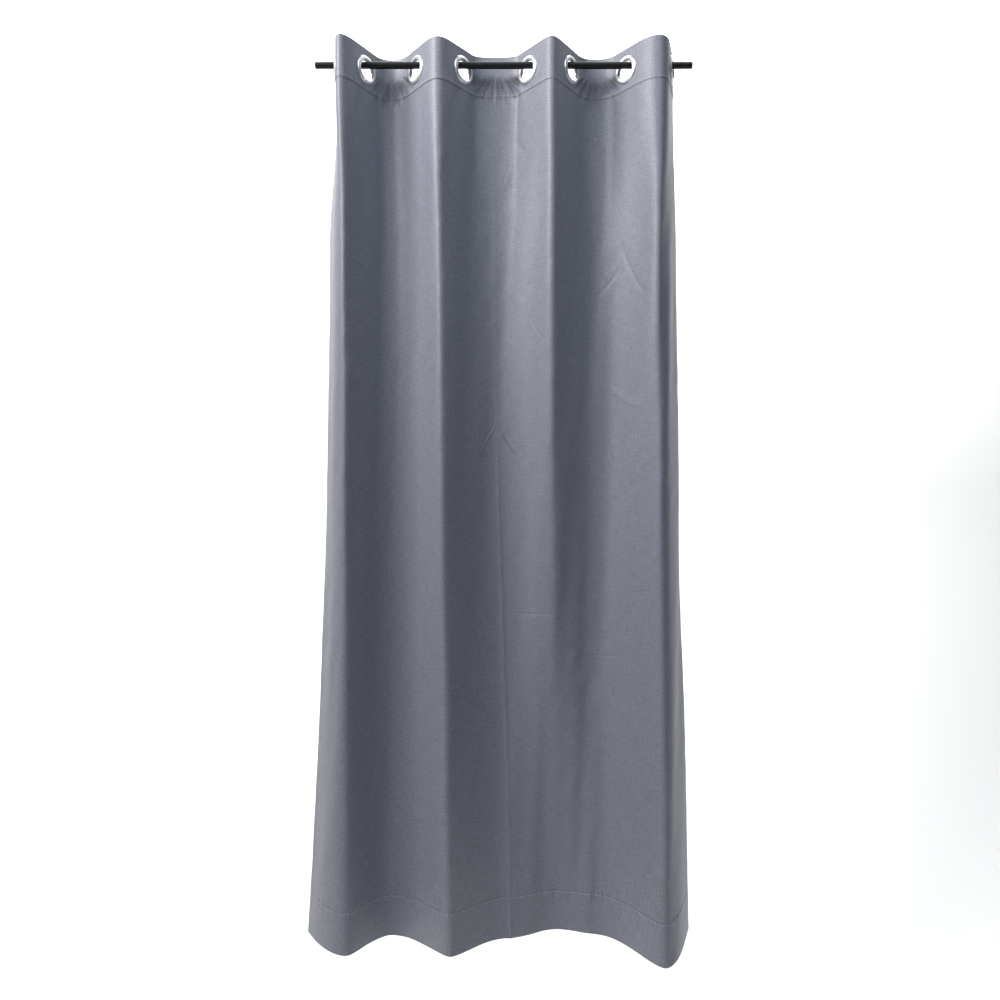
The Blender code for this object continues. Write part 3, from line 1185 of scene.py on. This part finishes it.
def turned(name: str, profile: list[tuple[float, float]], steps: int, place: Matrix) -> bpy.types.Object:
    """Turn a profile about its axis and put it in place.

    Args:
        name: The piece's name.
        profile: (radius, height) points, closed, or open with both ends on the axis.
        steps: Segments around.
        place: Where the axis's origin goes.

    Returns:
        The piece, at the origin with its place in its mesh.
    """
    bm = bmesh.new()
    verts = [bm.verts.new((radius, 0.0, height)) for radius, height in profile]
    closed = profile[0][0] > 0
    edges = [bm.edges.new(pair) for pair in zip(verts, verts[1:] + verts[:1] if closed else verts[1:])]
    bmesh.ops.spin(bm, geom=verts + edges, cent=(0, 0, 0), axis=(0, 0, 1), angle=math.tau, steps=steps,
                   use_merge=True)
    bmesh.ops.remove_doubles(bm, verts=bm.verts, dist=1e-6)
    bmesh.ops.recalc_face_normals(bm, faces=bm.faces)
    bmesh.ops.transform(bm, matrix=place, verts=bm.verts)
    mesh = bpy.data.meshes.new(name)
    bm.to_mesh(mesh)
    bm.free()
    mesh.shade_smooth()
    mesh.set_sharp_from_angle(angle=math.radians(40))
    piece = bpy.data.objects.new(name, mesh)
    bpy.context.scene.collection.objects.link(piece)
    return piece


def arc(centre: tuple[float, float], radii: tuple[float, float], start: float, end: float, count: int) -> list:
    """Points of an elliptic arc.

    Args:
        centre: Its middle.
        radii: Its half widths.
        start: First angle in degrees.
        end: Last angle in degrees.
        count: Number of points.

    Returns:
        The points.
    """
    angles = [math.radians(start + (end - start) * i / (count - 1)) for i in range(count)]
    return [(centre[0] + radii[0] * math.cos(a), centre[1] + radii[1] * math.sin(a)) for a in angles]


@dataclass
class Eyelet:
    """A two-part eyelet that grips the heading."""

    flank: int
    hanging: Hanging
    bore: float = 21 * MM
    outer: float = 33 * MM
    wall: float = 1.2 * MM
    seat: float = 1.35 * MM
    front_rise: float = 3.9 * MM
    back_rise: float = 2.1 * MM
    lip: float = 0.7 * MM
    clearance: float = 0.3 * MM
    steps: int = 96

    def place(self) -> Matrix:
        """World matrix with Z towards the room, square to the flank.

        Returns:
            The matrix.
        """
        along = self.hanging.directions[self.flank]
        x_axis = Vector((along[0], along[1], 0.0))
        z_axis = Vector((along[1], -along[0], 0.0))
        turn = Matrix((x_axis, z_axis.cross(x_axis), z_axis)).transposed().to_4x4()
        return Matrix.Translation((self.hanging.eyelet_x[self.flank], 0.0, self.hanging.eyelet_z)) @ turn

    def front_profile(self) -> list[tuple[float, float]]:
        """Rolled flange and barrel of the front half.

        Returns:
            Points of (radius, height).
        """
        middle = (self.bore + self.outer) / 2
        half = (self.outer - self.bore) / 2
        crown = arc((middle, self.seat), (half, self.front_rise), 180, 12, 22)
        rim = arc((self.outer - self.lip, self.seat + self.lip), (self.lip, self.lip), 0, -90, 6)
        barrel = [(self.bore + self.wall, self.seat), (self.bore + self.wall, -self.seat - self.back_rise * 0.6)]
        end = arc((self.bore + self.wall / 2, -self.seat - self.back_rise * 0.6), (self.wall / 2, self.wall / 2),
                  0, -180, 6)
        return crown + rim + barrel + end[1:]

    def back_profile(self) -> list[tuple[float, float]]:
        """Pressed washer of the back half.

        Returns:
            Points of (radius, height).
        """
        inner = self.bore + self.wall + self.clearance
        middle = (inner + self.outer) / 2
        half = (self.outer - inner) / 2
        return arc((middle, -self.seat), (half, self.back_rise), 180, 360, 20)

    def build(self, metal: bpy.types.Material) -> None:
        """Make both halves.

        Args:
            metal: Their material.
        """
        number = self.flank + 1
        halves = (("ring_front", "eyelet_front", self.front_profile()),
                  ("ring_back", "eyelet_back", self.back_profile()))
        for name, node, profile in halves:
            piece = turned(f"{name}_{number}", profile, self.steps, self.place())
            piece.data.materials.append(metal)
            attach(piece, self.hanging.body(self.flank))
            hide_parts(f"{node}_{number}")
        log.info("eyelet %d", number)


@dataclass
class Rod:
    """The black rod and its end plugs."""

    chamfer: float = 0.5 * MM
    wall: float = 1.2 * MM
    head: float = 3.0 * MM
    head_rounding: float = 1.2 * MM
    spigot_clearance: float = 0.35 * MM
    steps: int = 64

    def build(self) -> None:
        """Make the tube and both plugs from the CAD pieces' boxes."""
        low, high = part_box("curtain_rod")
        radius = (high.z - low.z) / 2
        along_x = Matrix.Translation(((low.x + high.x) / 2, 0.0, 0.0)) @ Matrix.Rotation(math.pi / 2, 4, "Y")
        half = (high.x - low.x) / 2
        cut = self.chamfer
        bore = radius - self.wall
        profile = [(bore, -half), (radius - cut, -half), (radius, -half + cut), (radius, half - cut),
                   (radius - cut, half), (bore, half)]
        tube = turned("rod_tube", profile, self.steps, along_x)
        tube.data.materials.append(ROD_LACQUER.build())
        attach(tube, "rod")
        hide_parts("curtain_rod")
        plastic = PLUG_PLASTIC.build()
        for name, side in (("rod_plug_left", -1), ("rod_plug_right", 1)):
            low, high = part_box(name)
            outer = high.x if side > 0 else low.x
            depth = high.x - low.x
            spigot = bore - self.spigot_clearance
            rounding = self.head_rounding
            profile = [(0.0, 0.0), (radius - rounding, 0.0)]
            profile += arc((radius - rounding, -rounding), (rounding, rounding), 90, 0, 6)[1:]
            profile += [(radius, -self.head), (spigot, -self.head), (spigot, -depth + cut),
                        (spigot - cut, -depth), (0.0, -depth)]
            place = Matrix.Translation((outer, 0.0, 0.0)) @ Matrix.Rotation(side * math.pi / 2, 4, "Y")
            plug = turned(f"{name}_cap", profile, self.steps, place)
            plug.data.materials.append(plastic)
            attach(plug, "rod")
            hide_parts(name)
        log.info("rod and plugs")


# ---------------------------------------------------------------- studio


@dataclass(frozen=True)
class Lamp:
    """A square area light that the camera doesn't see."""

    name: str
    at: tuple[float, float, float]
    towards: tuple[float, float, float]
    size: float
    power: float
    colour: tuple[float, float, float]

    def build(self) -> None:
        """Hang the lamp and point it."""
        data = bpy.data.lights.new(self.name, "AREA")
        data.size = self.size
        data.energy = self.power
        data.color = self.colour
        lamp = bpy.data.objects.new(self.name, data)
        lamp.visible_camera = False
        lamp.location = self.at
        lamp.rotation_euler = (Vector(self.towards) - Vector(self.at)).to_track_quat("-Z", "Y").to_euler()
        bpy.context.scene.collection.objects.link(lamp)


@dataclass
class Studio:
    """Camera, lights and a pale floor that curves up behind the panel."""

    middle_x: float
    floor_z: float
    camera_distance: float = 2.0
    camera_height: float = -1.037
    focal_length: float = 30.17
    ambient: float = 0.06
    floor_reach: float = 9.0
    floor_front: float = 6.0
    wall_at: float = 2.2
    wall_bend: float = 1.6
    wall_rise: float = 7.0
    # Shares of the sheet's length where its bend starts and where it ends
    bend_from: float = 0.3
    bend_to: float = 0.8
    lamps: tuple[Lamp, ...] = (
        Lamp("key", (-2.15, -1.45, 1.25), (0.0, 0.0, 0.8), 1.5, 188.0, (1.0, 0.99, 0.96)),
        Lamp("fill", (0.6, -2.1, 1.9), (0.0, 0.0, 0.9), 2.4, 57.0, (0.84, 0.92, 1.0)),
        Lamp("backdrop", (0.0, 0.9, 2.4), (0.0, 3.0, 1.4), 3.4, 330.0, (1.0, 1.0, 1.0)),
    )

    def build(self) -> None:
        """Set the stage."""
        bpy.context.scene.view_settings.view_transform = "Standard"
        self.camera()
        self.floor()
        for lamp in self.lamps:
            lamp.build()
        self.surroundings()

    def surroundings(self) -> None:
        """A pale room to look at that adds only a little light of its own."""
        world = bpy.data.worlds.new("studio")
        world.use_nodes = True
        nodes, links = world.node_tree.nodes, world.node_tree.links
        path = nodes.new("ShaderNodeLightPath")
        strength = nodes.new("ShaderNodeMapRange")
        strength.inputs["To Min"].default_value = self.ambient
        strength.inputs["To Max"].default_value = 1.0
        links.new(path.outputs["Is Camera Ray"], strength.inputs["Value"])
        links.new(strength.outputs["Result"], nodes["Background"].inputs["Strength"])
        nodes["Background"].inputs["Color"].default_value = (0.93, 0.94, 0.96, 1.0)
        bpy.context.scene.world = world

    def camera(self) -> None:
        """A level camera in front of the panel."""
        data = bpy.data.cameras.new("camera")
        data.lens = self.focal_length
        data.sensor_width = 36.0
        camera = bpy.data.objects.new("camera", data)
        camera.location = (self.middle_x, -self.camera_distance, self.camera_height)
        camera.rotation_euler = (math.pi / 2, 0.0, 0.0)
        bpy.context.scene.collection.objects.link(camera)
        bpy.context.scene.camera = camera

    def floor(self) -> None:
        """A wide sheet that runs back and curves up into a wall."""
        bm = bmesh.new()
        bmesh.ops.create_grid(bm, x_segments=2, y_segments=48, size=1.0)
        back, radius, low, high = self.wall_at, self.wall_bend, self.bend_from, self.bend_to
        for vert in bm.verts:
            share = (vert.co.y + 1) / 2
            vert.co.x *= self.floor_reach
            if share < low:
                vert.co.y = -self.floor_front + (self.floor_front + back - radius) * share / low
                vert.co.z = 0.0
            elif share < high:
                angle = (share - low) / (high - low) * math.pi / 2
                vert.co.y, vert.co.z = back - radius + radius * math.sin(angle), radius - radius * math.cos(angle)
            else:
                vert.co.y, vert.co.z = back, radius + (share - high) / (1 - high) * self.wall_rise
            vert.co.z += self.floor_z
        mesh = bpy.data.meshes.new("studio_floor")
        bm.to_mesh(mesh)
        bm.free()
        mesh.shade_smooth()
        tree = NodeTree("studio_paper")
        tree.shader.inputs["Base Color"].default_value = (0.80, 0.80, 0.80, 1.0)
        tree.shader.inputs["Roughness"].default_value = 0.9
        mesh.materials.append(tree.material)
        floor = bpy.data.objects.new("studio_floor", mesh)
        bpy.context.scene.collection.objects.link(floor)
        floor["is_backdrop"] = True


def main() -> None:
    """Build the panel, its eyelets, its rod and the studio."""
    logging.basicConfig(level=logging.INFO, format="%(message)s")
    cad_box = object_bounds()
    low, high = cad_box
    hanging = Hanging(frame["record"]["behaviour"]["joints"], frame["nodes"])
    Rod().build()
    drape = Drape(hanging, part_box("cloth_1")[1].z, high.z - low.z)
    Panel(hanging, drape).build()
    metal = SILVER_PLATE.build()
    for flank in range(len(hanging.eyelet_x)):
        Eyelet(flank, hanging).build(metal)
    Studio(middle_x=-0.009, floor_z=low.z - 0.45).build()


if __name__ == "__main__":
    main()
